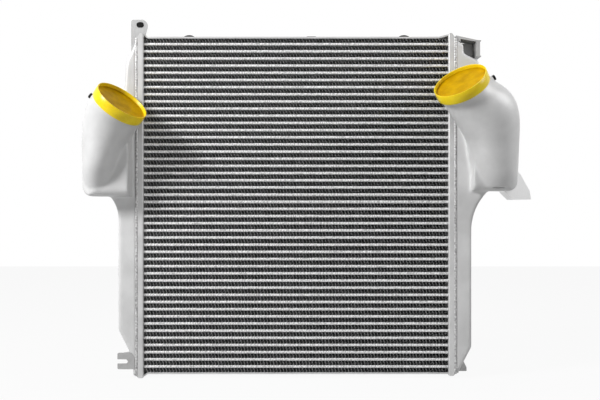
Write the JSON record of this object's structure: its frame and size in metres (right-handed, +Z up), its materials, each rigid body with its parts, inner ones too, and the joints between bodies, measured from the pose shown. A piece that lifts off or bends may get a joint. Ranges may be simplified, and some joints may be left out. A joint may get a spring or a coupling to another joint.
{
  "type": "charge air cooler",
  "caption": "Air-to-air intercooler: corrugated fin core between header pans, with cast end tanks, angled capped ports and mounting brackets",
  "frame": {"origin": "Middle of the core's flat underside, on the lower side plate", "axes": "+Z up along the stack of tubes, +X along the tubes from the left tank to the right tank, +Y away from the viewer through the core, so the ports face -Y and up"},
  "size_m": [1.073, 0.2148, 0.8685],
  "materials": {
    "cast_aluminium": "fine sand-cast skin, satin",
    "sheet_aluminium": "pressed sheet, satin with a faint rolling grain",
    "tube_aluminium": "brazed tube, softly bright",
    "fin_aluminium": "thin brazed fin stock, dull",
    "bracket_aluminium": "cut plate, satin",
    "weld_aluminium": "rippled weld bead",
    "yellow_plastic": "soft glossy polyethylene",
    "black_plastic": "moulded, matt",
    "black_rubber": "moulded rubber, matt"
  },
  "bodies": {
    "root": {"left_tank_casting": "cast_aluminium", "right_tank_casting": "cast_aluminium", "left_header_pan": "sheet_aluminium", "right_header_pan": "sheet_aluminium", "charge_air_tubes": "tube_aluminium", "tube_turbulators": "fin_aluminium", "cooling_fins": "fin_aluminium", "upper_side_plate": "sheet_aluminium", "lower_side_plate": "sheet_aluminium", "left_port_cap": "yellow_plastic", "right_port_cap": "yellow_plastic", "left_boss_plug": "black_plastic", "right_boss_plug": "black_plastic", "left_seam_weld": "weld_aluminium", "right_seam_weld": "weld_aluminium", "upper_left_lug": "bracket_aluminium", "lug_rubber_bush": "black_rubber", "lower_left_fork": "bracket_aluminium", "upper_right_bracket": "bracket_aluminium", "lower_right_stay": "bracket_aluminium", "right_elbow_wing": "bracket_aluminium", "upper_left_bumper": "black_rubber", "upper_right_bumper": "black_rubber", "upper_middle_pad": "black_rubber"}
  },
  "joints": []
}
